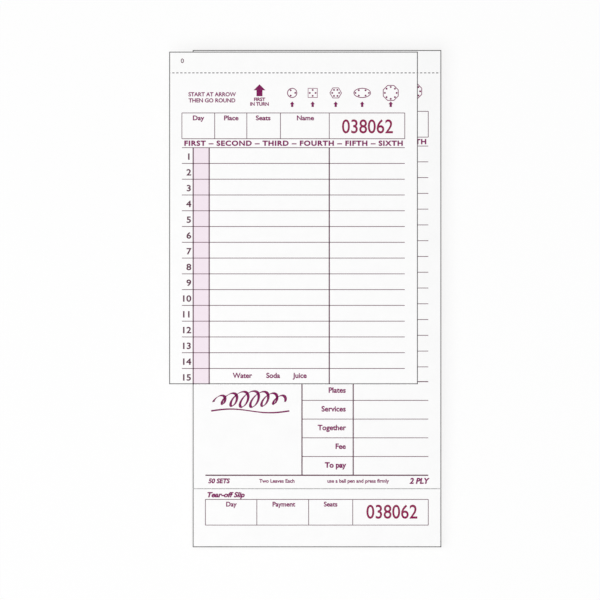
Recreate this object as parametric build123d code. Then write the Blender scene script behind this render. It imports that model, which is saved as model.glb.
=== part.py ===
"""A duplicate check book: sets of two leaves, a short order copy over a longer check, stapled to a board.

The book lies on its board with its head towards +Y and its printed side up (+Z). The origin is the centre
of the board's underside. The order copies thicken the book towards its head, so past their foot the checks
slope down and settle on each other. The front order copy is out of the staples and lies drawn aside.
"""

import os

from build123d import *

# Leaves, in millimetres
LEAF_WIDTH = 107.95
CHECK_LENGTH = 215.9
ORDER_LENGTH = 144.4
STUB_HEIGHT = 9.9
RECEIPT_HEIGHT = 25.4
ORDER_PAPER = 0.075
CHECK_CARD = 0.135
LEAF_AIR = 0.005
SET_COUNT = 50

# How far the front order copy lies to the left of the book, and below its head
ORDER_SHIFT = 10.2
ORDER_DROP = 0.7

# Backing board
BOARD_THICKNESS = 0.8

# Perforations: cuts at an even pitch, with paper ties between them
SLIT_WIDTH = 0.3
STUB_PITCH = 1.74
STUB_SLIT = 1.0
RECEIPT_PITCH = 3.175
RECEIPT_SLIT = 2.7

# Staples of flattened wire, pressed into the leaves at the front and clinched under the board
STAPLE_SPACING = 54.0
STAPLE_INSET = 4.6
STAPLE_CROWN = 12.0
WIRE_WIDTH = 0.5
WIRE_THICKNESS = 0.4
WIRE_BEND = 0.3
CLINCH_LENGTH = 4.0
CLINCH_SINK = 0.05
PIERCE_CLEARANCE = 0.03

# Places that follow from the sizes above
HEAD_Y = CHECK_LENGTH / 2
FOOT_Y = -CHECK_LENGTH / 2
STUB_PERFORATION_Y = HEAD_Y - STUB_HEIGHT
RECEIPT_PERFORATION_Y = FOOT_Y + RECEIPT_HEIGHT
BOUND_ORDER_FOOT_Y = HEAD_Y - ORDER_LENGTH
FRONT_ORDER_HEAD_Y = HEAD_Y - ORDER_DROP
FRONT_ORDER_FOOT_Y = FRONT_ORDER_HEAD_Y - ORDER_LENGTH
ORDER_PITCH = ORDER_PAPER + LEAF_AIR
SET_PITCH = CHECK_CARD + LEAF_AIR + ORDER_PITCH
FRONT_CHECK_Z = BOARD_THICKNESS + LEAF_AIR + (SET_COUNT - 1) * SET_PITCH
CROWN_TOP_Z = FRONT_CHECK_Z + CHECK_CARD
CROWN_UNDERSIDE_Z = CROWN_TOP_Z - WIRE_THICKNESS
FRONT_ORDER_Z = CROWN_TOP_Z + LEAF_AIR
FRONT_Z = FRONT_ORDER_Z + ORDER_PAPER
FRONT_CHECK_FALL = (SET_COUNT - 1) * ORDER_PITCH
STAPLE_Y = HEAD_Y - STAPLE_INSET
STAPLE_PLACES = (-STAPLE_SPACING / 2, STAPLE_SPACING / 2)


def perforated_edge(y, pitch, slit_length, depth):
    """Points from left to right along a torn perforation, notched by depth at every cut."""
    tie = pitch - slit_length
    count = int((LEAF_WIDTH - tie) // pitch)
    points = [(-LEAF_WIDTH / 2, y)]
    for i in range(count):
        middle = (i - (count - 1) / 2) * pitch
        left, right = middle - slit_length / 2, middle + slit_length / 2
        points += [(left, y), (left, y + depth), (right, y + depth), (right, y)]
    return points + [(LEAF_WIDTH / 2, y)]


def plain_edge(y):
    """Points from left to right along a cut edge."""
    return [(-LEAF_WIDTH / 2, y), (LEAF_WIDTH / 2, y)]


def outline(lower_edge, upper_edge):
    """The flat outline of a piece of a leaf, between two edges that run from left to right."""
    return make_face(Polyline(*lower_edge, *reversed(upper_edge), close=True))


def fall_at(y, fall):
    """How far a check that falls by this much at its foot has come down at a place on it."""
    return fall * max(0, BOUND_ORDER_FOOT_Y - y) / (BOUND_ORDER_FOOT_Y - FOOT_Y)


def settled(flat_outline, fall):
    """A check, or a piece of one: level over the order copies, then sloping so that its foot falls."""
    run = [FOOT_Y - CHECK_CARD, BOUND_ORDER_FOOT_Y, HEAD_Y + CHECK_CARD]
    underside = [(y, -fall_at(y, fall)) for y in run]
    top = [(y, z + CHECK_CARD) for y, z in reversed(underside)]
    side_view = Plane.YZ * make_face(Polyline(*underside, *top, close=True))
    bent_card = extrude(side_view, amount=LEAF_WIDTH, both=True)
    depth = fall + 2 * CHECK_CARD
    return bent_card & Pos(0, 0, -depth) * extrude(flat_outline, amount=2 * depth)


def crown_slots():
    """What the two pressed-in staple crowns leave open in a leaf."""
    gap = 2 * PIERCE_CLEARANCE
    slot = Rectangle(STAPLE_CROWN + gap, WIRE_WIDTH + gap)
    return [Pos(x, STAPLE_Y) * slot for x in STAPLE_PLACES]


def leg_places():
    """The middles of the four staple legs, each with the direction in which it is clinched."""
    reach = (STAPLE_CROWN - WIRE_THICKNESS) / 2
    return [(x + side * reach, -side) for x in STAPLE_PLACES for side in (-1, 1)]


def leg_holes():
    """What the four staple legs leave open in a leaf."""
    gap = 2 * PIERCE_CLEARANCE
    hole = Rectangle(WIRE_THICKNESS + gap, WIRE_WIDTH + gap)
    return [Pos(x, STAPLE_Y) * hole for x, _ in leg_places()]


def staple_openings(top_z):
    """What the staples leave open in a leaf whose top is at this height."""
    return crown_slots() if top_z > CROWN_UNDERSIDE_Z else leg_holes()


def order_copy():
    """The front order copy: a stub and a form that meet at the perforation."""
    notch = SLIT_WIDTH / 2
    stub_edge = perforated_edge(STUB_PERFORATION_Y, STUB_PITCH, STUB_SLIT, notch)
    form_edge = perforated_edge(STUB_PERFORATION_Y, STUB_PITCH, STUB_SLIT, -notch)
    stub = outline(stub_edge, plain_edge(FRONT_ORDER_HEAD_Y))
    form = outline(plain_edge(FRONT_ORDER_FOOT_Y), form_edge)
    place = Pos(-ORDER_SHIFT, 0, FRONT_ORDER_Z)
    return {
        "order_copy_stub": place * extrude(stub, amount=ORDER_PAPER),
        "order_copy_form": place * extrude(form, amount=ORDER_PAPER),
    }


def front_check():
    """The front check: a stub under the staples, the check itself and the receipt at its foot."""
    notch = SLIT_WIDTH / 2
    stub_edge = perforated_edge(STUB_PERFORATION_Y, STUB_PITCH, STUB_SLIT, notch)
    form_head = perforated_edge(STUB_PERFORATION_Y, STUB_PITCH, STUB_SLIT, -notch)
    form_foot = perforated_edge(RECEIPT_PERFORATION_Y, RECEIPT_PITCH, RECEIPT_SLIT, notch)
    receipt_edge = perforated_edge(RECEIPT_PERFORATION_Y, RECEIPT_PITCH, RECEIPT_SLIT, -notch)
    stub = outline(stub_edge, plain_edge(HEAD_Y)) - staple_openings(CROWN_TOP_Z)
    form = outline(form_foot, form_head)
    receipt = outline(plain_edge(FOOT_Y), receipt_edge)
    place = Pos(0, 0, FRONT_CHECK_Z)
    return {
        "check_stub": place * extrude(stub, amount=CHECK_CARD),
        "check_form": place * settled(form, FRONT_CHECK_FALL),
        "guest_receipt": place * settled(receipt, FRONT_CHECK_FALL),
    }


def bound_sets():
    """The sets behind the front one, each an order copy over its check, all held by the staples."""
    order_sheet = outline(plain_edge(BOUND_ORDER_FOOT_Y), plain_edge(HEAD_Y))
    check_sheet = outline(plain_edge(FOOT_Y), plain_edge(HEAD_Y))
    sets = {}
    for number in range(2, SET_COUNT + 1):
        sets_below = SET_COUNT - number
        check_z = BOARD_THICKNESS + LEAF_AIR + sets_below * SET_PITCH
        order_z = check_z + CHECK_CARD + LEAF_AIR
        check_outline = check_sheet - staple_openings(check_z + CHECK_CARD)
        order_outline = order_sheet - staple_openings(order_z + ORDER_PAPER)
        check = Pos(0, 0, check_z) * settled(check_outline, sets_below * ORDER_PITCH)
        order = Pos(0, 0, order_z) * extrude(order_outline, amount=ORDER_PAPER)
        sets[f"duplicate_set_{number:02d}"] = Compound([order, check])
    return sets


def backing_board():
    """The board, pierced by the staple legs and dented underneath by their clinched ends."""
    board = extrude(outline(plain_edge(FOOT_Y), plain_edge(HEAD_Y)) - leg_holes(), amount=BOARD_THICKNESS)
    length = CLINCH_LENGTH + 2 * PIERCE_CLEARANCE
    width = WIRE_WIDTH + 2 * PIERCE_CLEARANCE
    depth = CLINCH_SINK + WIRE_THICKNESS + PIERCE_CLEARANCE
    dent = Box(length, width, depth, align=(Align.CENTER, Align.CENTER, Align.MIN))
    inward = (CLINCH_LENGTH - WIRE_THICKNESS) / 2
    dents = [Pos(x + way * inward, STAPLE_Y, 0) * dent for x, way in leg_places()]
    return {"backing_board": board - dents}


def staples():
    """Two staples: a crown at the front, two legs through the book, and clinched ends at the back."""
    outer, inner = STAPLE_CROWN / 2, STAPLE_CROWN / 2 - WIRE_THICKNESS
    tip = outer - CLINCH_LENGTH
    top, bottom = CROWN_TOP_Z, CLINCH_SINK
    right_half = [
        (outer, top),
        (outer, bottom),
        (tip, bottom),
        (tip, bottom + WIRE_THICKNESS),
        (inner, bottom + WIRE_THICKNESS),
        (inner, CROWN_UNDERSIDE_Z),
    ]
    left_half = [(-x, z) for x, z in reversed(right_half)]
    profile = make_face(Polyline(*right_half, *left_half, close=True))
    bends = profile.vertices().filter_by_position(Axis.X, outer - WIRE_BEND, outer)
    bends += profile.vertices().filter_by_position(Axis.X, -outer, -outer + WIRE_BEND)
    profile = Plane.XZ * fillet(bends, radius=WIRE_BEND)
    wire = extrude(profile, amount=WIRE_WIDTH / 2, both=True)
    return {"staples": Compound([Pos(x, STAPLE_Y, 0) * wire for x in STAPLE_PLACES])}


pieces = {**backing_board(), **staples(), **bound_sets(), **front_check(), **order_copy()}

os.makedirs("parts", exist_ok=True)
for name, shape in pieces.items():
    export_step(shape, f"parts/{name}.step")

receipt_fold_z = CROWN_TOP_Z - fall_at(RECEIPT_PERFORATION_Y, FRONT_CHECK_FALL)
print(f"{len(pieces)} nodes, book {FRONT_Z:.3f} thick, turning line at y {STUB_PERFORATION_Y:.3f}")
print(f"receipt line at y {RECEIPT_PERFORATION_Y:.3f}, z {receipt_fold_z:.4f}")
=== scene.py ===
"""A duplicate check book: paper, print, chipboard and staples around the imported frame."""

import math

import bmesh
import bpy
from mathutils import Matrix, Vector


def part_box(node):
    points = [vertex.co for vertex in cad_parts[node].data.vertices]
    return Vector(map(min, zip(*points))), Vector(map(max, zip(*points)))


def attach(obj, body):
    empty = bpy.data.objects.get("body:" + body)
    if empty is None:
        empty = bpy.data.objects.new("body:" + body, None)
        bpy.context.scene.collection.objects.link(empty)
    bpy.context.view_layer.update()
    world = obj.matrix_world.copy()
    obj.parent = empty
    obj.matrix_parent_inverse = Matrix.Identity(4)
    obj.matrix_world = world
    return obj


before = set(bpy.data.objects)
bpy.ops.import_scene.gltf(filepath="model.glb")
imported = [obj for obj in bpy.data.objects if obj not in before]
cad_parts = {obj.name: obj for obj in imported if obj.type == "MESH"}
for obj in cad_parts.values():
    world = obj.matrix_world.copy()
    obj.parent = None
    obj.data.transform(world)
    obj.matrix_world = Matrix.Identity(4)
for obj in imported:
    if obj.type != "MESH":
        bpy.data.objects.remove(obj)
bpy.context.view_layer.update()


# Backing board
# Grey-brown chipboard, pressed from waste paper and left bare. The leaves are stapled to it, and it shows at
# the back of the book and as a thin darker line under the leaves.
MM = 0.001
BOARD_PALE = "#b5a994"
BOARD_DEEP = "#948772"
BOARD_SCRAP = "#57504a"
BOARD_CLOUD_MM = 5.0
BOARD_FIBRE_MM = (3.2, 0.45, 0.45)
BOARD_SCRAP_MM = 1.6
SCRAP_LEVELS = (0.69, 0.73)


def linear(colour):
    """An sRGB hex colour as the linear RGBA that a shader takes."""
    channels = [int(colour[i : i + 2], 16) / 255 for i in (1, 3, 5)]
    return [c / 12.92 if c <= 0.04045 else ((c + 0.055) / 1.055) ** 2.4 for c in channels] + [1.0]


def per_metre(size_mm):
    """How many features of this size go into a metre, which is a texture's scale."""
    return 1 / (size_mm * MM)


def add(tree, kind, inputs=(), **settings):
    """Adds a node. Its inputs go by name or place, each a value or the socket that it is linked to.

    A mix of colours has like names, so it goes by place: 0 is the share of 7 in 6, and 2 comes out.
    """
    node = tree.nodes.new(kind)
    for name, value in settings.items():
        setattr(node, name, value)
    for key, value in dict(inputs).items():
        if isinstance(value, bpy.types.NodeSocket):
            tree.links.new(value, node.inputs[key])
        else:
            node.inputs[key].default_value = value
    return node


def new_material(name):
    """An empty material, its node tree, and the object coordinates that its patterns read."""
    material = bpy.data.materials.new(name)
    material.use_nodes = True
    material.node_tree.nodes.clear()
    place = add(material.node_tree, "ShaderNodeTexCoord").outputs["Object"]
    return material, material.node_tree, place


def dress(material, *nodes):
    """Gives these nodes of the frame their material."""
    for node in nodes:
        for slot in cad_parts[node].material_slots:
            slot.material = material


def chipboard():
    """Chipboard off the board machine: matt and cloudy, streaked with fibre and flecked with dark scraps."""
    material, tree, place = new_material("chipboard_machine_pressed")
    cloud = add(
        tree, "ShaderNodeTexNoise", {"Vector": place, "Scale": per_metre(BOARD_CLOUD_MM), "Detail": 4.0}
    )
    fibre_scale = [per_metre(mm) for mm in BOARD_FIBRE_MM]
    stretched = add(tree, "ShaderNodeMapping", {"Vector": place, "Scale": fibre_scale})
    fibre = add(tree, "ShaderNodeTexNoise", {"Vector": stretched.outputs[0], "Scale": 1.0, "Detail": 3.0})
    mottle = add(tree, "ShaderNodeMath", {0: cloud.outputs[0], 1: fibre.outputs[0]}, operation="ADD")
    blend = add(
        tree, "ShaderNodeMapRange", {"Value": mottle.outputs[0], "From Min": 0.7, "From Max": 1.3}
    )
    tone = add(
        tree,
        "ShaderNodeMix",
        {0: blend.outputs[0], 6: linear(BOARD_DEEP), 7: linear(BOARD_PALE)},
        data_type="RGBA",
    )
    scraps = add(
        tree, "ShaderNodeTexNoise", {"Vector": place, "Scale": per_metre(BOARD_SCRAP_MM), "Detail": 3.0}
    )
    least, full = SCRAP_LEVELS
    fleck = add(
        tree, "ShaderNodeMapRange", {"Value": scraps.outputs[0], "From Min": least, "From Max": full}
    )
    colour = add(
        tree,
        "ShaderNodeMix",
        {0: fleck.outputs[0], 6: tone.outputs[2], 7: linear(BOARD_SCRAP)},
        data_type="RGBA",
    )
    bump = add(tree, "ShaderNodeBump", {"Height": fibre.outputs[0], "Strength": 0.5, "Distance": 0.03 * MM})
    shader = add(
        tree,
        "ShaderNodeBsdfPrincipled",
        {"Base Color": colour.outputs[2], "Roughness": 0.92, "Normal": bump.outputs[0]},
    )
    add(tree, "ShaderNodeOutputMaterial", {"Surface": shader.outputs[0]})
    return material


dress(chipboard(), "backing_board")


# Bound sets
# Forty-nine sets of a short order copy over a longer check, of white bond and white index card, knocked up
# square and trimmed together in the guillotine, so that their edges make one wall, banded with painted shade
# between the leaves.
SET_COUNT = 50
LEAF_WHITE = "#f9f8f6"
LEAF_CLOUD = "#f3f2ef"
# A grey of painted shade: the dark gaps between leaves, laid on the wall in bands.
EDGE_SHADE = "#c6c2bb"
LEAF_CLOUD_MM = 6.0
EDGE_BAND_SETS = 3.5
EDGE_SWAY_MM, EDGE_SWAY_SETS = 35.0, 1.5

board_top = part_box("backing_board")[1].z
stub_low, stub_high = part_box("check_stub")
order_low, order_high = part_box("order_copy_form")
order_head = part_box("order_copy_stub")[1].y
second_low, second_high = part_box("duplicate_set_02")
receipt_low, receipt_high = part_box("guest_receipt")
card = stub_high.z - stub_low.z
order_length = order_head - order_low.y
crease_y = stub_high.y - order_length


def guillotined_leaves():
    """Leaves trimmed as one pile: white faces, faintly cloudy, and edges banded with painted shade between
    leaves.

    A leaf is thinner than the picture can show, so the painted bands are drawn a few leaves wide. They follow
    the leaves down where these slope towards the foot, and sway a little as a hand-jogged pile does. Just
    below the order copies the checks lie open, and the gaps between them shade the wall by themselves, so the
    painted shade is left out there and comes back towards the foot.
    """
    material, tree, place = new_material("bond_paper_guillotined")
    at = add(tree, "ShaderNodeSeparateXYZ", {"Vector": place})
    pile = add(
        tree,
        "ShaderNodeMapRange",
        {
            "Value": at.outputs["Y"],
            "From Min": receipt_low.y,
            "From Max": crease_y,
            "To Min": receipt_low.z + card - board_top,
            "To Max": stub_high.z - board_top,
        },
    )
    above = add(tree, "ShaderNodeMath", {0: at.outputs["Z"], 1: board_top}, operation="SUBTRACT")
    share = add(tree, "ShaderNodeMath", {0: above.outputs[0], 1: pile.outputs[0]}, operation="DIVIDE")
    wander = add(
        tree, "ShaderNodeTexNoise", {"Vector": place, "Scale": per_metre(EDGE_SWAY_MM), "Detail": 1.0}
    )
    sway = add(
        tree,
        "ShaderNodeMapRange",
        {"Value": wander.outputs[0], "To Min": -EDGE_SWAY_SETS, "To Max": EDGE_SWAY_SETS},
    )
    leaf = add(
        tree,
        "ShaderNodeMath",
        {0: share.outputs[0], 1: SET_COUNT, 2: sway.outputs[0]},
        operation="MULTIPLY_ADD",
    )
    bands = add(
        tree,
        "ShaderNodeTexNoise",
        {"W": leaf.outputs[0], "Scale": 1 / EDGE_BAND_SETS, "Detail": 4.0, "Roughness": 0.75},
        noise_dimensions="1D",
    )
    # The bands are painted shade between leaves. It is left out just below the order copies, where real gaps
    # shade the wall.
    band_shade = add(
        tree, "ShaderNodeMapRange", {"Value": bands.outputs[0], "From Min": 0.35, "From Max": 0.75}
    )
    settled = add(
        tree,
        "ShaderNodeMapRange",
        {"Value": at.outputs["Y"], "From Min": crease_y, "From Max": receipt_low.y},
    )
    packed = add(tree, "ShaderNodeMath", {0: at.outputs["Y"], 1: crease_y}, operation="GREATER_THAN")
    shut = add(tree, "ShaderNodeMath", {0: settled.outputs[0], 1: packed.outputs[0]}, operation="MAXIMUM")
    shade = add(tree, "ShaderNodeMath", {0: band_shade.outputs[0], 1: shut.outputs[0]}, operation="MULTIPLY")
    edge_tone = add(
        tree,
        "ShaderNodeMix",
        {0: shade.outputs[0], 6: linear(LEAF_WHITE), 7: linear(EDGE_SHADE)},
        data_type="RGBA",
    )
    cloud = add(
        tree, "ShaderNodeTexNoise", {"Vector": place, "Scale": per_metre(LEAF_CLOUD_MM), "Detail": 4.0}
    )
    face_tone = add(
        tree,
        "ShaderNodeMix",
        {0: cloud.outputs[0], 6: linear(LEAF_WHITE), 7: linear(LEAF_CLOUD)},
        data_type="RGBA",
    )
    normal = add(tree, "ShaderNodeNewGeometry").outputs["True Normal"]
    facing = add(tree, "ShaderNodeSeparateXYZ", {"Vector": normal})
    flat = add(tree, "ShaderNodeMath", {0: facing.outputs["Z"]}, operation="ABSOLUTE")
    is_face = add(tree, "ShaderNodeMath", {0: flat.outputs[0], 1: 0.5}, operation="GREATER_THAN")
    tone = add(
        tree,
        "ShaderNodeMix",
        {0: is_face.outputs[0], 6: edge_tone.outputs[2], 7: face_tone.outputs[2]},
        data_type="RGBA",
    )
    bump = add(tree, "ShaderNodeBump", {"Height": bands.outputs[0], "Strength": 0.4, "Distance": 0.05 * MM})
    shader = add(
        tree,
        "ShaderNodeBsdfPrincipled",
        {"Base Color": tone.outputs[2], "Roughness": 0.88, "Normal": bump.outputs[0]},
    )
    add(tree, "ShaderNodeOutputMaterial", {"Surface": shader.outputs[0]})
    return material


dress(guillotined_leaves(), *[f"duplicate_set_{n:02d}" for n in range(2, SET_COUNT + 1)])


# Printing inks
# The forms are offset printed in one plum ink, which looks redder in fine type and greyer in thin rules. One
# column has a pale screen of it, and the numbers are wine red. The ink lies on the paper as a film.
INK_FILM = 0.004
TINT_FILM = 0.002
INK_SINK = 0.001
PLUM = "#7a0a54"
TYPE_PLUM = "#7e0a5a"
GREY_PLUM = "#5a2642"
WINE = "#8a0a4a"
INK_GLOSS = 0.12
INK_PATCH_MM, INK_THINNEST = 0.8, 0.05
TINT_PALE = "#f9eff6"
TINT_DOT = "#eedde9"
DOT_MM = 0.7


def film_of_ink(name, colour):
    """Offset ink on uncoated paper: nearly without gloss, a little uneven where the fibre has drunk it."""
    material, tree, place = new_material(name)
    patch = add(
        tree, "ShaderNodeTexNoise", {"Vector": place, "Scale": per_metre(INK_PATCH_MM), "Detail": 2.0}
    )
    thin = add(
        tree,
        "ShaderNodeMapRange",
        {"Value": patch.outputs[0], "From Min": 0.45, "From Max": 0.8, "To Max": INK_THINNEST},
    )
    tone = add(
        tree,
        "ShaderNodeMix",
        {0: thin.outputs[0], 6: linear(colour), 7: linear(LEAF_WHITE)},
        data_type="RGBA",
    )
    shader = add(
        tree,
        "ShaderNodeBsdfPrincipled",
        {"Base Color": tone.outputs[2], "Roughness": 0.6, "Specular IOR Level": INK_GLOSS},
    )
    add(tree, "ShaderNodeOutputMaterial", {"Surface": shader.outputs[0]})
    return material


def dot_screen():
    """A pale tint of the ink, screened into dots. They are drawn coarser and softer than printed, to show."""
    material, tree, place = new_material("plum_ink_dot_screen")
    waves_per_metre = math.tau * per_metre(DOT_MM)
    turned = add(
        tree,
        "ShaderNodeMapping",
        {"Vector": place, "Rotation": (0.0, 0.0, math.radians(45)), "Scale": [waves_per_metre] * 3},
    )
    at = add(tree, "ShaderNodeSeparateXYZ", {"Vector": turned.outputs[0]})
    columns = add(tree, "ShaderNodeMath", {0: at.outputs["X"]}, operation="SINE")
    rows = add(tree, "ShaderNodeMath", {0: at.outputs["Y"]}, operation="SINE")
    wave = add(tree, "ShaderNodeMath", {0: columns.outputs[0], 1: rows.outputs[0]}, operation="MULTIPLY")
    dots = add(tree, "ShaderNodeMapRange", {"Value": wave.outputs[0], "From Min": -0.6, "From Max": 0.6})
    tone = add(
        tree,
        "ShaderNodeMix",
        {0: dots.outputs[0], 6: linear(TINT_PALE), 7: linear(TINT_DOT)},
        data_type="RGBA",
    )
    shader = add(tree, "ShaderNodeBsdfPrincipled", {"Base Color": tone.outputs[2], "Roughness": 0.85})
    add(tree, "ShaderNodeOutputMaterial", {"Surface": shader.outputs[0]})
    return material


plum_ink = film_of_ink("plum_ink_offset", PLUM)
type_ink = film_of_ink("plum_ink_offset_thin", TYPE_PLUM)
rule_ink = film_of_ink("grey_plum_ink_offset", GREY_PLUM)
number_ink = film_of_ink("wine_ink_numbering", WINE)
tint_ink = dot_screen()


# Rules
# The lines and boxes of the forms are bars of ink. A print is laid out in millimetres from its leaf's left
# edge and head, and then laid on the leaf, which is level over the order copies and falls below them.
MERGE = 0.0002

leaf_width = (stub_high.x - stub_low.x) / MM
card_thickness = card / MM
bond_thickness = (order_high.z - order_low.z) / MM
order_foot = order_length / MM
check_foot = (stub_high.y - receipt_low.y) / MM
order_stub_down = (order_head - order_high.y) / MM
stub_down = (stub_high.y - stub_low.y) / MM
receipt_down = (stub_high.y - receipt_high.y) / MM


def leaf_at(left, head, top, fall, slot):
    """Where a leaf lies, in millimetres: its left edge, head, top side, and how far its foot falls."""
    return {"left": left / MM, "head": head / MM, "top": top / MM, "fall": fall / MM, "slot": slot}


second_check_top = second_high.z - (order_high.z - stub_high.z)
second_check_fall = second_check_top - second_low.z - card
second_order = leaf_at(second_low.x, second_high.y, second_high.z, 0.0, "leaf_stack")
second_check = leaf_at(second_low.x, second_high.y, second_check_top, second_check_fall, "leaf_stack")


def bars_tree():
    """A node tree for a row of like bars: their count, the first one's middle, the step and the size."""
    tree = bpy.data.node_groups.new("row_of_bars", "GeometryNodeTree")
    sockets = {"Count": "Int", "First": "Vector", "Step": "Vector", "Bar": "Vector", "Ink": "Material"}
    for name, kind in sockets.items():
        tree.interface.new_socket(name, in_out="INPUT", socket_type="NodeSocket" + kind)
    tree.interface.new_socket("Bars", in_out="OUTPUT", socket_type="NodeSocketGeometry")
    given = add(tree, "NodeGroupInput").outputs
    line = {"Count": given["Count"], "Start Location": given["First"], "Offset": given["Step"]}
    points = add(tree, "GeometryNodeMeshLine", line)
    bar = add(tree, "GeometryNodeMeshCube", {"Size": given["Bar"]})
    row = add(tree, "GeometryNodeInstanceOnPoints", {"Points": points.outputs[0], "Instance": bar.outputs[0]})
    real = add(tree, "GeometryNodeRealizeInstances", {"Geometry": row.outputs[0]})
    inked = add(tree, "GeometryNodeSetMaterial", {"Geometry": real.outputs[0], "Material": given["Ink"]})
    add(tree, "NodeGroupOutput", {"Bars": inked.outputs[0]})
    return tree


row_of_bars = bars_tree()


def plain_mesh(thing):
    """The plain mesh of a text, or of an object with a modifier, which then goes."""
    bpy.context.scene.collection.objects.link(thing)
    mesh = bpy.data.meshes.new_from_object(thing.evaluated_get(bpy.context.evaluated_depsgraph_get()))
    bpy.data.objects.remove(thing)
    return mesh


def grown(tree, sizes):
    """What a node tree makes from these sizes, as a plain mesh."""
    thing = bpy.data.objects.new("unfinished", bpy.data.meshes.new("unfinished"))
    modifier = thing.modifiers.new("nodes", "NODES")
    modifier.node_group = tree
    for item in tree.interface.items_tree:
        if item.in_out == "INPUT":
            modifier[item.identifier] = sizes[item.name]
    return plain_mesh(thing)


def bars(count, first, step, size, film=INK_FILM):
    """A row of flat bars of film, with the first one's middle, the step to the next, and the size of each."""
    depth = film + INK_SINK
    middle = (film - INK_SINK) / 2
    sizes = {"Count": count, "First": (*first, middle), "Step": (*step, 0.0), "Bar": (*size, depth)}
    return grown(row_of_bars, {**sizes, "Ink": rule_ink})


def across(left, right, down, weight, count=1, pitch=0.0):
    """Rules across a leaf, the first this far down from its head and the rest a pitch apart."""
    return bars(count, ((left + right) / 2, -down), (0.0, -pitch), (right - left, weight))


def upright(x, top, foot, weight):
    """A rule down a leaf."""
    return bars(1, (x, -(top + foot) / 2), (0.0, 0.0), (weight, foot - top))


def printed(name, meshes, ink, leaf, body):
    """Joins the films into one piece, lays it on its leaf and lets it ride."""
    bm = bmesh.new()
    for mesh in meshes:
        bm.from_mesh(mesh)
        bpy.data.meshes.remove(mesh)
    bmesh.ops.remove_doubles(bm, verts=bm.verts, dist=MERGE)
    crease = (0.0, crease_y / MM - leaf["head"], 0.0)
    everything = [*bm.verts, *bm.edges, *bm.faces]
    bmesh.ops.bisect_plane(bm, geom=everything, dist=MERGE, plane_co=crease, plane_no=(0.0, 1.0, 0.0))
    slope = leaf["fall"] * MM / (crease_y - receipt_low.y)
    for vert in bm.verts:
        x = (leaf["left"] + vert.co.x) * MM
        y = (leaf["head"] + vert.co.y) * MM
        z = (leaf["top"] + vert.co.z) * MM - slope * max(0.0, crease_y - y)
        vert.co = (x, y, z)
    mesh = bpy.data.meshes.new(name)
    bm.to_mesh(mesh)
    bm.free()
    mesh.materials.clear()
    mesh.materials.append(ink)
    piece = bpy.data.objects.new(name, mesh)
    bpy.context.scene.collection.objects.link(piece)
    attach(piece, body)


# Type
# Words and numbers in one plain letter, upright or slanted, printed at several weights. Ink spreads in soft
# paper, so the finer the type is, the heavier its strokes are for their size.
CAP_SHARE = 0.682
LIGHT, REGULAR, MEDIUM, BOLD = 0.010, 0.025, 0.034, 0.046
LONGEST_MITRE = 1.6


def heavier(mesh, gain):
    """Moves the outline of raised lettering outwards, so that its strokes gain this much on either side."""
    bm = bmesh.new()
    bm.from_mesh(mesh)
    bmesh.ops.remove_doubles(bm, verts=bm.verts, dist=MERGE)
    bmesh.ops.recalc_face_normals(bm, faces=bm.faces)
    moves = {}
    for vert in bm.verts:
        walls = [face.normal for face in vert.link_faces if abs(face.normal.z) < 0.5]
        outward = sum(walls, Vector()) / len(walls)
        if outward.length > MERGE:
            moves[vert] = outward.normalized() * gain * min(1 / outward.length, LONGEST_MITRE)
    for vert, move in moves.items():
        vert.co += move
    bm.to_mesh(mesh)
    bm.free()


def lettering(text, place, cap, align="CENTER", weight=MEDIUM, slant=0.0, stretch=1.0, gap=1.0, pitch=None):
    """Words or numbers with capitals of this height, the first line aligned on this place at half its height.

    The weight is what the strokes gain on either side, as a share of the type's size. The stretch widens the
    letters, the gap widens their spacing, and the pitch is from line to line.
    """
    size = cap / CAP_SHARE
    curve = bpy.data.curves.new("lettering", "FONT")
    curve.body = text
    curve.size = size
    curve.align_x = align
    curve.shear = slant
    curve.space_character = gap
    curve.resolution_u = 4
    curve.extrude = (INK_FILM + INK_SINK) / 2
    if pitch:
        curve.space_line = pitch / size
    mesh = plain_mesh(bpy.data.objects.new("unfinished", curve))
    bpy.data.curves.remove(curve)
    heavier(mesh, weight * size)
    x, down = place
    on_leaf = Matrix.Translation((x, -down - cap / 2, (INK_FILM - INK_SINK) / 2))
    mesh.transform(on_leaf @ Matrix.Diagonal((stretch, 1.0, 1.0, 1.0)))
    return mesh


# Order form
# Both leaves of a set carry it: a key to seating, a header of boxes, a strip of courses, and numbered rows
# beside a tinted column. The second set's form shows when the first set is turned up.
FORM_LEFT, FORM_RIGHT = 5.5, 102.3
NUMBER_RIGHT, TINT_RIGHT, PRICE_LEFT = 10.4, 17.35, 69.5
HEADER_TOP, HEADER_FOOT = 26.6, 37.8
HEADER_SPLITS = (19.75, 33.7, 48.3, PRICE_LEFT)
ROWS_TOP, ROW_PITCH, ROW_COUNT = 41.68, 6.85, 15
HAIRLINE, COLUMN_LINE = 0.3, 0.5

HEADER_WORDS, HEADER_WORD_DOWN = {"Day": 12.6, "Place": 26.9, "Seats": 40.8, "Name": 59.1}, 28.75
HEADER_TYPE = {"cap": 1.95, "stretch": 1.08}
COURSES, COURSE_PLACE = "FIRST – SECOND – THIRD – FOURTH – FIFTH – SIXTH", (54.0, 39.75)
COURSE_TYPE = {"cap": 2.05, "weight": BOLD, "stretch": 1.16, "gap": 1.15}
ROW_NUMBER_RIGHT, ROW_NUMBER_DROP = 9.6, 3.87
ROW_NUMBER_TYPE = {"cap": 2.6, "align": "RIGHT", "weight": REGULAR, "stretch": 1.15, "pitch": ROW_PITCH}
ROW_WORDS, ROW_WORD_DOWN = {"Water": 31.8, "Soda": 45.1, "Juice": 56.8}, 140.6
ROW_WORD_TYPE = {"cap": 2.1}
GUIDE, GUIDE_PLACE = "START AT ARROW\nTHEN GO ROUND", (18.6, 18.5)
GUIDE_TYPE = {"cap": 1.65, "pitch": 2.65}
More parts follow.
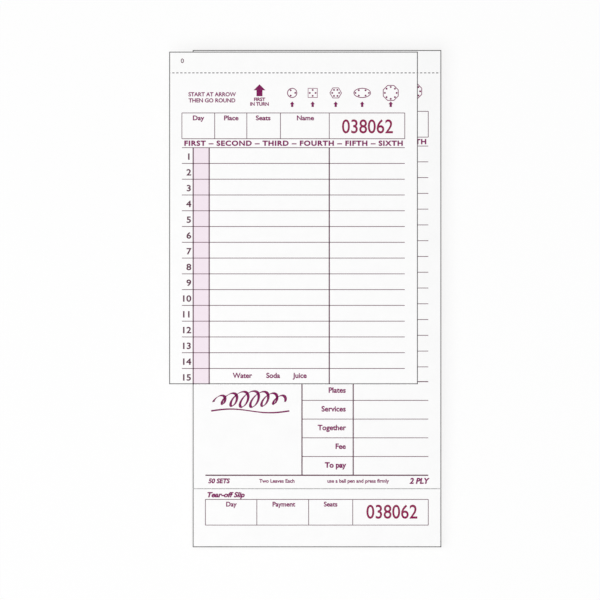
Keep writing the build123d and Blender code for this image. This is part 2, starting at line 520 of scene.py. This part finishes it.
MARKER_WORDS, MARKER_PLACE = "FIRST\nIN TURN", (39.2, 20.7)
MARKER_TYPE = {"cap": 1.4, "weight": BOLD, "pitch": 2.0}
SERIAL, SERIAL_PLACE = 38062, (86.1, 32.45)
SERIAL_TYPE = {"cap": 5.8, "weight": LIGHT, "stretch": 0.88}

# Tables by their middle: sides, reach across and down, seats, and the part of a side by which each is turned
TABLES = {
    53.4: (24, 2.2, 2.2, 3, 0.25),
    62.3: (4, 3.0, 3.0, 4, 0.5),
    72.3: (6, 2.7, 2.7, 6, 0.0),
    83.8: (24, 3.8, 2.2, 6, 0.0),
    96.2: (8, 3.7, 3.7, 8, 0.5),
}
TABLE_DOWN, TABLE_LINE = 17.9, 0.36
SEAT_DOT, SEAT_INSET = 0.42, 0.85
KEY_ARROW, KEY_ARROW_DOWN = (5.2, 5.2), 16.75
TABLE_ARROW, TABLE_ARROW_DOWN = (2.0, 2.4), 22.8
ARROW_TIP = 0.1


def seats_tree():
    """A node tree for seats round a table: round dots, evenly spaced on an oval."""
    tree = bpy.data.node_groups.new("seats_round_table", "GeometryNodeTree")
    sockets = {"Seats": "Int", "Reach": "Vector", "Dot": "Float", "Film": "Float", "Ink": "Material"}
    for name, kind in sockets.items():
        tree.interface.new_socket(name, in_out="INPUT", socket_type="NodeSocket" + kind)
    tree.interface.new_socket("Dots", in_out="OUTPUT", socket_type="NodeSocketGeometry")
    given = add(tree, "NodeGroupInput").outputs
    circle = add(tree, "GeometryNodeMeshCircle", {"Vertices": given["Seats"], "Radius": 1.0})
    oval = add(tree, "GeometryNodeTransform", {"Geometry": circle.outputs[0], "Scale": given["Reach"]})
    dot = add(
        tree, "GeometryNodeMeshCylinder", {"Vertices": 10, "Radius": given["Dot"], "Depth": given["Film"]}
    )
    ring = add(tree, "GeometryNodeInstanceOnPoints", {"Points": oval.outputs[0], "Instance": dot.outputs[0]})
    real = add(tree, "GeometryNodeRealizeInstances", {"Geometry": ring.outputs[0]})
    inked = add(tree, "GeometryNodeSetMaterial", {"Geometry": real.outputs[0], "Material": given["Ink"]})
    add(tree, "NodeGroupOutput", {"Dots": inked.outputs[0]})
    return tree


seats_round_table = seats_tree()


def flat_strip(inner, outer, closed):
    """A film of ink between two lines of points, as a closed prism."""
    bm = bmesh.new()
    loops = [
        [bm.verts.new((x, y, z)) for x, y in line]
        for z in (-INK_SINK, INK_FILM)
        for line in (inner, outer)
    ]
    low_in, low_out, high_in, high_out = loops
    steps = range(len(inner) if closed else len(inner) - 1)
    for i in steps:
        j = (i + 1) % len(inner)
        bm.faces.new((high_in[i], high_out[i], high_out[j], high_in[j]))
        bm.faces.new((low_in[j], low_out[j], low_out[i], low_in[i]))
        bm.faces.new((low_out[i], low_out[j], high_out[j], high_out[i]))
        bm.faces.new((low_in[j], low_in[i], high_in[i], high_in[j]))
    if not closed:
        for i in (0, -1):
            bm.faces.new((low_in[i], low_out[i], high_out[i], high_in[i]))
    bmesh.ops.recalc_face_normals(bm, faces=bm.faces)
    mesh = bpy.data.meshes.new("unfinished")
    bm.to_mesh(mesh)
    bm.free()
    return mesh


def outline(sides, reach_x, reach_y, weight, x, down, turn=0.0):
    """The outline of a table seen from above, with this many sides."""
    angles = [math.tau * (i + turn) / sides for i in range(sides)]
    rings = []
    for inset in (weight, 0.0):
        rings.append(
            [(x + (reach_x - inset) * math.cos(a), -down + (reach_y - inset) * math.sin(a)) for a in angles]
        )
    return flat_strip(*rings, closed=True)


def arrow(width, height, x, down):
    """A solid arrow that points up to the side where the counting of seats begins."""
    tip, neck, foot = -down + height / 2, -down, -down - height / 2
    head = flat_strip(
        [(x - width / 2, neck), (x, neck), (x + width / 2, neck)],
        [(x - ARROW_TIP, tip - ARROW_TIP), (x, tip), (x + ARROW_TIP, tip - ARROW_TIP)],
        closed=False,
    )
    half_stem = width / 4
    stem = flat_strip(
        [(x - half_stem, foot), (x + half_stem, foot)],
        [(x - half_stem, neck), (x + half_stem, neck)],
        closed=False,
    )
    return [head, stem]


def seating_key():
    """A key above the form: tables of several sizes with their seats, and an arrow to the first side."""
    parts = arrow(*KEY_ARROW, MARKER_PLACE[0], KEY_ARROW_DOWN)
    film = INK_FILM + INK_SINK
    for x, (sides, reach_x, reach_y, seats, turn) in TABLES.items():
        parts.append(outline(sides, reach_x, reach_y, TABLE_LINE, x, TABLE_DOWN, turn))
        flat_side = math.cos(math.pi / sides)
        reach = (reach_x * flat_side - SEAT_INSET, reach_y * flat_side - SEAT_INSET, 1.0)
        sizes = {"Seats": seats, "Reach": reach, "Dot": SEAT_DOT, "Film": film, "Ink": plum_ink}
        dots = grown(seats_round_table, sizes)
        dots.transform(Matrix.Translation((x, -TABLE_DOWN, (INK_FILM - INK_SINK) / 2)))
        parts.append(dots)
        parts += arrow(*TABLE_ARROW, x, TABLE_ARROW_DOWN)
    return parts


def print_form(leaf, body, name, serial):
    """The whole form on one leaf, under this number."""
    rows_foot = ROWS_TOP + ROW_PITCH * ROW_COUNT
    tint_middle = ((NUMBER_RIGHT + TINT_RIGHT) / 2, -(ROWS_TOP + rows_foot) / 2)
    tint_size = (TINT_RIGHT - NUMBER_RIGHT, rows_foot - ROWS_TOP)
    tint = bars(1, tint_middle, (0.0, 0.0), tint_size, TINT_FILM)
    printed(name + "_tinted_column", [tint], tint_ink, leaf, body)
    rules = [across(FORM_LEFT, FORM_RIGHT, ROWS_TOP, HAIRLINE, ROW_COUNT, ROW_PITCH)]
    rules += [across(FORM_LEFT, FORM_RIGHT, down, HAIRLINE) for down in (HEADER_TOP, HEADER_FOOT)]
    header_lines = (FORM_LEFT, *HEADER_SPLITS, FORM_RIGHT)
    rules += [upright(x, HEADER_TOP, HEADER_FOOT, HAIRLINE) for x in header_lines]
    column_lines = (NUMBER_RIGHT, TINT_RIGHT, PRICE_LEFT)
    rules += [upright(x, ROWS_TOP, rows_foot, COLUMN_LINE) for x in column_lines]
    printed(name + "_rules", rules, rule_ink, leaf, body)
    words = [lettering(word, (x, HEADER_WORD_DOWN), **HEADER_TYPE) for word, x in HEADER_WORDS.items()]
    words += [lettering(word, (x, ROW_WORD_DOWN), **ROW_WORD_TYPE) for word, x in ROW_WORDS.items()]
    words.append(lettering(GUIDE, GUIDE_PLACE, **GUIDE_TYPE))
    words.append(lettering(MARKER_WORDS, MARKER_PLACE, **MARKER_TYPE))
    words.append(lettering(COURSES, COURSE_PLACE, **COURSE_TYPE))
    printed(name + "_words", words, type_ink, leaf, body)
    numbers = "\n".join(str(n + 1) for n in range(ROW_COUNT))
    first_number = (ROW_NUMBER_RIGHT, ROWS_TOP + ROW_NUMBER_DROP)
    row_numbers = lettering(numbers, first_number, **ROW_NUMBER_TYPE)
    printed(name + "_row_numbers", [row_numbers], rule_ink, leaf, body)
    number = lettering(f"{serial:06d}", SERIAL_PLACE, **SERIAL_TYPE)
    printed(name + "_serial_number", [number], number_ink, leaf, body)
    printed(name + "_seating_key", seating_key(), plum_ink, leaf, body)


print_form(second_order, "book", "second_order", SERIAL + 1)


# Totals
# The foot of the check, which the shorter order copy leaves open: five lines of totals with a flourish beside
# them, and small print under a heavy line.
TOTALS_TOP, TOTALS_PITCH, TOTALS_COUNT = 144.0, 8.13, 5
TOTALS_LEFT, TOTALS_SPLIT = 47.45, 69.7
FOOT_LINE, HEAVY_LINE = 0.4, 0.54
TOTALS_WORDS = ("Plates", "Services", "Together", "Fee", "To pay")
TOTALS_WORD_RIGHT, TOTALS_WORD_RISE = 66.5, 0.4
TOTALS_TYPE = {"cap": 2.2, "align": "RIGHT"}
FOOTER_DOWN = 187.1
FOOTER_WORDS = {"Two Leaves Each": 36.6, "use a ball pen and press firmly": 71.8}
FOOTER_TYPE = {"cap": 1.5}
FOOTER_SIDES = {"50 SETS": (11.3, 1.9), "2 PLY": (98.2, 2.3)}
FOOTER_SIDE_TYPE = {"weight": BOLD, "slant": 0.2}

FLOURISH_LEFT, FLOURISH_WIDTH, FLOURISH_DOWN = 9.5, 31.0, 151.6
LOOPS, LOOP_STEPS, LOOP_SLANT = 7, 30, 0.45
LEAST_LOOP, LARGEST_LOOP, LOOP_BREADTH = 1.05, 3.5, 0.7
STROKE_OVERHANG, STROKE_WAVE, STROKE_DROP = 1.5, 0.8, 5.1
LOOP_PEN, STROKE_PEN = (0.25, 1.3), (0.25, 0.95)
NIB_ANGLE = math.radians(30)


def pen_line(points, thin, thick, nib):
    """A line drawn with a broad nib held at this angle: thick across the nib and thin along it."""
    left, right = [], []
    for i, (x, y) in enumerate(points):
        before, after = points[max(i - 1, 0)], points[min(i + 1, len(points) - 1)]
        way = math.atan2(after[1] - before[1], after[0] - before[0])
        half = (thin + (thick - thin) * abs(math.sin(way - nib))) / 2
        left.append((x - half * math.sin(way), y + half * math.cos(way)))
        right.append((x + half * math.sin(way), y - half * math.cos(way)))
    return flat_strip(left, right, closed=False)


def flourish():
    """A looped pen flourish, as on a copybook page: loops that swell to the middle, over one long stroke."""
    steps = LOOPS * LOOP_STEPS
    loop_line, long_stroke = [], []
    for i in range(steps + 1):
        share = i / steps
        turn = math.tau * LOOPS * share
        size = LEAST_LOOP + (LARGEST_LOOP - LEAST_LOOP) * math.sin(math.pi * share)
        y = -size * math.cos(turn)
        x = FLOURISH_WIDTH * share - LOOP_BREADTH * size * math.sin(turn)
        loop_line.append((FLOURISH_LEFT + x + LOOP_SLANT * y, y - FLOURISH_DOWN))
        stroke_x = FLOURISH_LEFT - STROKE_OVERHANG + (FLOURISH_WIDTH + 2 * STROKE_OVERHANG) * share
        wave = STROKE_WAVE * math.sin(math.tau * share)
        long_stroke.append((stroke_x, wave - FLOURISH_DOWN - STROKE_DROP))
    return [pen_line(loop_line, *LOOP_PEN, NIB_ANGLE), pen_line(long_stroke, *STROKE_PEN, -NIB_ANGLE)]


def print_totals(leaf, body, name):
    """The whole foot of one check, down to its receipt."""
    foot = TOTALS_TOP + TOTALS_PITCH * TOTALS_COUNT
    second_line = TOTALS_TOP + TOTALS_PITCH
    rules = [across(TOTALS_LEFT, FORM_RIGHT, second_line, HAIRLINE, TOTALS_COUNT - 1, TOTALS_PITCH)]
    rules.append(across(FORM_LEFT, FORM_RIGHT, TOTALS_TOP, FOOT_LINE))
    rules.append(across(FORM_LEFT, FORM_RIGHT, foot, HEAVY_LINE))
    rules += [upright(x, TOTALS_TOP, foot, COLUMN_LINE) for x in (TOTALS_LEFT, TOTALS_SPLIT)]
    printed(name + "_totals_rules", rules, rule_ink, leaf, body)
    words = []
    for i, word in enumerate(TOTALS_WORDS):
        weight = BOLD if i == TOTALS_COUNT - 1 else MEDIUM
        down = TOTALS_TOP + TOTALS_PITCH * (i + 0.5) - TOTALS_WORD_RISE
        words.append(lettering(word, (TOTALS_WORD_RIGHT, down), weight=weight, **TOTALS_TYPE))
    words += [lettering(word, (x, FOOTER_DOWN), **FOOTER_TYPE) for word, x in FOOTER_WORDS.items()]
    for word, (x, cap) in FOOTER_SIDES.items():
        words.append(lettering(word, (x, FOOTER_DOWN), cap, **FOOTER_SIDE_TYPE))
    printed(name + "_totals_words", words, type_ink, leaf, body)
    printed(name + "_flourish", flourish(), plum_ink, leaf, body)


print_totals(second_check, "book", "second_check")


# Tear-off receipt
# The slip at the very foot of a check, below its lower perforation: a caption and a row of boxes, the last of
# which has the same number as the form.
RECEIPT_TOP, RECEIPT_FOOT = 195.15, 206.3
RECEIPT_SPLITS = (27.85, 50.35, 69.5)
RECEIPT_WORDS, RECEIPT_WORD_DOWN = {"Day": 16.7, "Payment": 39.5, "Seats": 59.9}, 197.2
RECEIPT_TYPE = {"cap": 1.95}
CAPTION, CAPTION_PLACE = "Tear-off Slip", (6.0, 193.1)
CAPTION_TYPE = {"cap": 2.05, "align": "LEFT", "weight": BOLD, "slant": 0.25, "stretch": 1.1}
RECEIPT_SERIAL_PLACE = (86.5, 200.5)


def print_receipt(leaf, body, name, serial):
    """The whole receipt of one check, under this number."""
    rules = [across(FORM_LEFT, FORM_RIGHT, down, HAIRLINE) for down in (RECEIPT_TOP, RECEIPT_FOOT)]
    box_lines = (FORM_LEFT, *RECEIPT_SPLITS, FORM_RIGHT)
    rules += [upright(x, RECEIPT_TOP, RECEIPT_FOOT, HAIRLINE) for x in box_lines]
    printed(name + "_receipt_rules", rules, rule_ink, leaf, body)
    words = [lettering(word, (x, RECEIPT_WORD_DOWN), **RECEIPT_TYPE) for word, x in RECEIPT_WORDS.items()]
    words.append(lettering(CAPTION, CAPTION_PLACE, **CAPTION_TYPE))
    printed(name + "_receipt_words", words, type_ink, leaf, body)
    number = lettering(f"{serial:06d}", RECEIPT_SERIAL_PLACE, **SERIAL_TYPE)
    printed(name + "_receipt_serial_number", [number], number_ink, leaf, body)


print_receipt(second_check, "book", "second_check", SERIAL + 1)


# Perforations
# Rows of short cuts with ties of paper between them, struck with a toothed blade. The shade in the cuts is
# painted as dark grey films, paler at the receipt, and so is the shade of the dents that it leaves at a
# leaf's sides and on the receipt's ties. The cuts of the bound leaves lie shut, and those of the front set
# stand open.
# These greys are painted shade in the cuts and in the blade's dents.
SLIT_SHADE_GREY = "#171516"
SCORED_SHADE_GREY = "#8e8c8d"
FIBRE_MM, FIBRE_PALE_SHARE = 0.6, 0.06
SLIT_WIDTH, LIP_FILM, SCORE_FILM = 0.3, 0.02, 0.001


def painted_cut_shade(name, colour):
    """Painted shade in a perforation or on a trimmed edge: dark grey, with flecks of paler paper fibre."""
    material, tree, place = new_material(name)
    fibre = add(tree, "ShaderNodeTexNoise", {"Vector": place, "Scale": per_metre(FIBRE_MM), "Detail": 3.0})
    pale = add(
        tree,
        "ShaderNodeMapRange",
        {"Value": fibre.outputs[0], "From Min": 0.3, "From Max": 0.7, "To Max": FIBRE_PALE_SHARE},
    )
    tone = add(
        tree,
        "ShaderNodeMix",
        {0: pale.outputs[0], 6: linear(colour), 7: linear(LEAF_WHITE)},
        data_type="RGBA",
    )
    shader = add(
        tree,
        "ShaderNodeBsdfPrincipled",
        {"Base Color": tone.outputs[2], "Roughness": 0.9, "Specular IOR Level": INK_GLOSS},
    )
    add(tree, "ShaderNodeOutputMaterial", {"Surface": shader.outputs[0]})
    return material


# Dark films that stand in for the shade of the cuts: near black at the stubs, mid grey at the receipt.
painted_slit_shade = painted_cut_shade("stub_perforation_painted_shade", SLIT_SHADE_GREY)
painted_score_shade = painted_cut_shade("receipt_perforation_painted_shade", SCORED_SHADE_GREY)

# The fibre of each row is the material of its painted shade.
STUB_CUTS = {"pitch": 1.74, "slit": 1.0, "fibre": painted_slit_shade}
RECEIPT_CUTS = {"pitch": 3.175, "slit": 2.7, "fibre": painted_score_shade}


def row_of_cuts(pitch, slit):
    """How many whole cuts go across a leaf, and where the first one has its middle."""
    count = int((leaf_width - (pitch - slit)) // pitch)
    return count, (leaf_width - (count - 1) * pitch) / 2


def cuts(leaf, body, name, down, pitch, slit, fibre, breadth=SLIT_WIDTH, sunk=0.0):
    """Dark films of painted shade along a row of cuts, this far down a leaf. In a cut that is open, they lie
    sunk.
    """
    count, first_x = row_of_cuts(pitch, slit)
    film = LIP_FILM if sunk else INK_FILM + INK_SINK
    level = LIP_FILM / 2 - sunk if sunk else (INK_FILM - INK_SINK) / 2
    sizes = {
        "Count": count,
        "First": (first_x, -down, level),
        "Step": (pitch, 0.0, 0.0),
        "Bar": (slit, breadth, film),
        "Ink": fibre,
    }
    printed(name, [grown(row_of_bars, sizes)], fibre, leaf, body)


def pressed(leaf, body, name, down, pitch, slit, fibre, breadth=SLIT_WIDTH, scored=False):
    """Painted shade where the blade dents but leaves whole: the row's ends at the sides and, if scored, the
    ties.
    """
    count, first_x = row_of_cuts(pitch, slit)
    end = first_x - slit / 2 if scored else first_x - pitch + slit / 2
    dents = [bars(2, (end / 2, -down), (leaf_width - end, 0.0), (end, breadth), SCORE_FILM)]
    if scored:
        first_tie = (first_x + pitch / 2, -down)
        dents.append(bars(count - 1, first_tie, (pitch, 0.0), (pitch - slit, breadth), SCORE_FILM))
    printed(name, dents, fibre, leaf, body)


cuts(second_order, "book", "second_order_perforation", order_stub_down, **STUB_CUTS)
cuts(second_check, "book", "second_check_perforation", receipt_down, **RECEIPT_CUTS)
pressed(second_order, "book", "second_order_score", order_stub_down, **STUB_CUTS)
pressed(second_check, "book", "second_check_score", receipt_down, scored=True, **RECEIPT_CUTS)


# Painted edge shade
# The shade at the edge of a leaf is painted as a thin grey line round it, along its guillotined sides and
# ends. Where a leaf lies on another, the line is all that parts the two whites.
# A dark grey for painted edge shade, and the breadth of its line.
OUTLINE_SHADE_GREY = "#3f3c3e"
OUTLINE_SHADE_WIDTH = 0.36

painted_outline_shade = painted_cut_shade("paper_edge_painted_shade", OUTLINE_SHADE_GREY)
head_edge = OUTLINE_SHADE_WIDTH / 2
order_edge = order_foot - OUTLINE_SHADE_WIDTH / 2
check_edge = check_foot - OUTLINE_SHADE_WIDTH / 2


def trim(leaf, body, name, top, foot, ends=()):
    """The painted shade line round a piece of a leaf: both sides, and the ends that the guillotine cut."""
    half = OUTLINE_SHADE_WIDTH / 2
    lines = [upright(x, top, foot, OUTLINE_SHADE_WIDTH) for x in (half, leaf_width - half)]
    lines += [across(0.0, leaf_width, end, OUTLINE_SHADE_WIDTH) for end in ends]
    printed(name, lines, painted_outline_shade, leaf, body)


trim(second_order, "book", "second_order_edges", 0.0, order_foot, ends=(head_edge, order_edge))
trim(second_check, "book", "second_check_edges", order_foot, check_foot, ends=(check_edge,))


# Staples
# Two staples of flattened galvanised wire, driven through the leaves and clinched under the board. Their
# crowns are pressed flush with the front check, under the loose order copy.
WIRE_BRIGHT = "#cfd2d4"
WIRE_DULL = "#a3a7aa"
WIRE_STREAK_MM = (2.5, 0.06, 0.06)


def galvanised_wire():
    """Drawn steel wire with a zinc skin: bright, streaked along its length and slightly clouded."""
    material, tree, place = new_material("galvanised_steel_drawn")
    streak_scale = [per_metre(mm) for mm in WIRE_STREAK_MM]
    along = add(tree, "ShaderNodeMapping", {"Vector": place, "Scale": streak_scale})
    streak = add(tree, "ShaderNodeTexNoise", {"Vector": along.outputs[0], "Scale": 1.0, "Detail": 2.0})
    tone = add(
        tree,
        "ShaderNodeMix",
        {0: streak.outputs[0], 6: linear(WIRE_DULL), 7: linear(WIRE_BRIGHT)},
        data_type="RGBA",
    )
    rough = add(tree, "ShaderNodeMapRange", {"Value": streak.outputs[0], "To Min": 0.45, "To Max": 0.28})
    shader = add(
        tree,
        "ShaderNodeBsdfPrincipled",
        {"Base Color": tone.outputs[2], "Metallic": 1.0, "Roughness": rough.outputs[0]},
    )
    add(tree, "ShaderNodeOutputMaterial", {"Surface": shader.outputs[0]})
    return material


dress(galvanised_wire(), "staples")


# Front check
# The long leaf of the first set, of white index card, in three parts: a stub under the staples, the check,
# and a receipt at its foot. It parts along its rows of cuts, and its painted edge shade stops just short of
# them.
CARD_TONES = ("#fdfdfd", "#f8f8f8")
CARD_CLOUD_MM, CARD_TOOTH_MM = 7.0, 0.5
LIP_CLEARANCE, FOLD_CLEARANCE, HINGE_GAP = 0.01, 0.025, 0.1
# Breadth of a dark rim of painted shade beside the stub's cuts.
STUB_RIM_SHADE = 0.03


def paper(name, tones, cloud_mm, tooth_mm):
    """Uncoated paper: matt white, faintly cloudy from the way its fibre settled, with a fine tooth."""
    material, tree, place = new_material(name)
    cloud = add(tree, "ShaderNodeTexNoise", {"Vector": place, "Scale": per_metre(cloud_mm), "Detail": 4.0})
    tone = add(
        tree,
        "ShaderNodeMix",
        {0: cloud.outputs[0], 6: linear(tones[0]), 7: linear(tones[1])},
        data_type="RGBA",
    )
    tooth = add(tree, "ShaderNodeTexNoise", {"Vector": place, "Scale": per_metre(tooth_mm), "Detail": 3.0})
    bump = add(tree, "ShaderNodeBump", {"Height": tooth.outputs[0], "Strength": 0.2, "Distance": 0.02 * MM})
    shader = add(
        tree,
        "ShaderNodeBsdfPrincipled",
        {"Base Color": tone.outputs[2], "Roughness": 0.86, "Normal": bump.outputs[0]},
    )
    add(tree, "ShaderNodeOutputMaterial", {"Surface": shader.outputs[0]})
    return material


def open_cuts(leaf, head_side, foot_side, down, thickness, spacing, rim_shade=0.0, scored=False):
    """The painted shade at both lips of a row of cuts along which a leaf divides: each a body and a name,
    above and below.

    Beside the cuts lies a dark rim of painted shade, if it is given a breadth. A scored row is dented on its
    ties too.
    """
    lip = SLIT_WIDTH / 2 - LIP_CLEARANCE
    dent = SLIT_WIDTH / 2 - FOLD_CLEARANCE
    for (body, name), way in ((head_side, -1), (foot_side, 1)):
        lip_down = down + way * (SLIT_WIDTH - lip) / 2
        dent_down = down + way * (SLIT_WIDTH - dent) / 2
        cuts(leaf, body, name + "_perforation", lip_down, breadth=lip, sunk=thickness, **spacing)
        pressed(leaf, body, name + "_score", dent_down, breadth=dent, scored=scored, **spacing)
        # A dark rim beside the cuts: painted shade at their edge.
        if rim_shade:
            rim_shade_down = down + way * (SLIT_WIDTH + rim_shade) / 2
            cuts(leaf, body, name + "_bruise", rim_shade_down, breadth=rim_shade, **spacing)


front_fall = stub_low.z - receipt_low.z
front_check = leaf_at(stub_low.x, stub_high.y, stub_high.z, front_fall, "check_card")
index_card = paper("index_card_uncoated", CARD_TONES, CARD_CLOUD_MM, CARD_TOOTH_MM)

dress(index_card, "check_stub", "check_form", "guest_receipt")
print_form(front_check, "check", "check", SERIAL)
print_totals(front_check, "check", "check")
print_receipt(front_check, "receipt", "check", SERIAL)
trim(front_check, "book", "check_stub_edges", 0.0, stub_down - HINGE_GAP, ends=(head_edge,))
trim(front_check, "check", "check_edges", stub_down + HINGE_GAP, receipt_down - HINGE_GAP)
trim(front_check, "receipt", "receipt_edges", receipt_down + HINGE_GAP, check_foot, ends=(check_edge,))
open_cuts(
    front_check,
    ("book", "check_stub"),
    ("check", "check_head"),
    stub_down,
    card_thickness,
    STUB_CUTS,
    rim_shade=STUB_RIM_SHADE,
)
open_cuts(
    front_check,
    ("check", "check_foot"),
    ("receipt", "receipt"),
    receipt_down,
    card_thickness,
    RECEIPT_CUTS,
    scored=True,
)


# Front order copy
# The short leaf of the first set, of thin white bond with a carbonless back. It is out of the staples and
# lies drawn aside on the check, and it turns up at its own row of cuts.
BOND_TONES = ("#fefefe", "#fafafa")
BOND_CLOUD_MM, BOND_TOOTH_MM = 5.0, 0.35
STUB_MARK_SIDES, STUB_MARK_REACH, STUB_MARK_PLACE = 12, (0.7, 1.0), (5.7, 3.95)

front_order = leaf_at(order_low.x, order_head, order_high.z, 0.0, "order_paper")
bond_paper = paper("bond_paper_uncoated", BOND_TONES, BOND_CLOUD_MM, BOND_TOOTH_MM)

dress(bond_paper, "order_copy_stub", "order_copy_form")
print_form(front_order, "order_copy", "order_copy", SERIAL)
stub_mark = outline(STUB_MARK_SIDES, *STUB_MARK_REACH, TABLE_LINE, *STUB_MARK_PLACE)
printed("order_copy_stub_mark", [stub_mark], rule_ink, front_order, "book")
order_form_top = order_stub_down + HINGE_GAP
trim(front_order, "book", "order_copy_stub_edges", 0.0, order_stub_down - HINGE_GAP, ends=(head_edge,))
trim(front_order, "order_copy", "order_copy_edges", order_form_top, order_foot, ends=(order_edge,))
open_cuts(
    front_order,
    ("book", "order_copy_stub"),
    ("order_copy", "order_copy"),
    order_stub_down,
    bond_thickness,
    STUB_CUTS,
    rim_shade=STUB_RIM_SHADE,
)


# Stage
# A plain white floor, a hair under the board, with soft light from above and the camera straight over the
# book as it is pictured. What is seen of the floor is nearly white by itself, with a faint shadow.
FLOOR_SIZE, FLOOR_DROP = 6.0, 0.05 * MM
FLOOR_WHITE, FLOOR_GLOW = "#fafafa", 0.82
STUDIO_WHITE = "#ffffff"
SKY_LIGHT = 0.55
LAMP_WATTS, LAMP_SIZE, LAMP_PLACE = 12.0, 1.2, (-0.35, -0.25, 1.45)
CAMERA_HEIGHT = 0.6
PICTURE_WIDTH = 600
MM_PER_PIXEL = 0.4343
BOOK_MIDDLE_PIXEL = (317.0, 298.65)

floor_mesh = bpy.data.meshes.new("floor")
half_floor = FLOOR_SIZE / 2
signs = ((-1, -1), (1, -1), (1, 1), (-1, 1))
corners = [(x * half_floor, y * half_floor, -FLOOR_DROP) for x, y in signs]
floor_mesh.from_pydata(corners, [], [(0, 1, 2, 3)])
floor = bpy.data.objects.new("floor", floor_mesh)
bpy.context.scene.collection.objects.link(floor)


def seen_directly(tree):
    """One for what the camera sees, also in a gloss or through glass, and nought for other light."""
    path = add(tree, "ShaderNodeLightPath")
    first = add(
        tree,
        "ShaderNodeMath",
        {0: path.outputs["Is Camera Ray"], 1: path.outputs["Is Glossy Ray"]},
        operation="ADD",
    )
    return add(
        tree,
        "ShaderNodeMath",
        {0: first.outputs[0], 1: path.outputs["Is Transmission Ray"]},
        operation="ADD",
        use_clamp=True,
    ).outputs[0]


def white_floor():
    """A white sweep: matt for the light it gives back, and nearly white to the eye, with a faint shadow."""
    material, tree, _ = new_material("paper_sweep_matt")
    matt = add(tree, "ShaderNodeBsdfDiffuse", {"Color": linear(FLOOR_WHITE)})
    glow = add(tree, "ShaderNodeEmission", {"Color": linear(STUDIO_WHITE), "Strength": 1.0})
    shown = add(tree, "ShaderNodeMixShader", {0: FLOOR_GLOW, 1: matt.outputs[0], 2: glow.outputs[0]})
    either = add(
        tree, "ShaderNodeMixShader", {0: seen_directly(tree), 1: matt.outputs[0], 2: shown.outputs[0]}
    )
    add(tree, "ShaderNodeOutputMaterial", {"Surface": either.outputs[0]})
    return material


floor_mesh.materials.append(white_floor())

world = bpy.data.worlds.new("studio")
bpy.context.scene.world = world
world.use_nodes = True
sky = world.node_tree
sky.nodes.clear()
soft = add(sky, "ShaderNodeBackground", {"Color": linear(STUDIO_WHITE), "Strength": SKY_LIGHT})
white = add(sky, "ShaderNodeBackground", {"Color": linear(STUDIO_WHITE), "Strength": 1.0})
either_sky = add(
    sky, "ShaderNodeMixShader", {0: seen_directly(sky), 1: soft.outputs[0], 2: white.outputs[0]}
)
add(sky, "ShaderNodeOutputWorld", {"Surface": either_sky.outputs[0]})

lamp = bpy.data.lights.new("softbox", "AREA")
lamp.shape = "DISK"
lamp.size = LAMP_SIZE
lamp.energy = LAMP_WATTS
softbox = bpy.data.objects.new("softbox", lamp)
softbox.location = LAMP_PLACE
softbox.rotation_euler = (-softbox.location).to_track_quat("-Z", "Y").to_euler()
bpy.context.scene.collection.objects.link(softbox)

camera_data = bpy.data.cameras.new("camera")
camera_data.type = "ORTHO"
camera_data.ortho_scale = PICTURE_WIDTH * MM_PER_PIXEL * MM
camera_data.clip_start = 0.01
camera = bpy.data.objects.new("camera", camera_data)
middle_x, middle_y = BOOK_MIDDLE_PIXEL
camera.location = (
    (PICTURE_WIDTH / 2 - middle_x) * MM_PER_PIXEL * MM,
    (middle_y - PICTURE_WIDTH / 2) * MM_PER_PIXEL * MM,
    CAMERA_HEIGHT,
)
bpy.context.scene.collection.objects.link(camera)
bpy.context.scene.camera = camera
bpy.context.scene.view_settings.view_transform = "Standard"
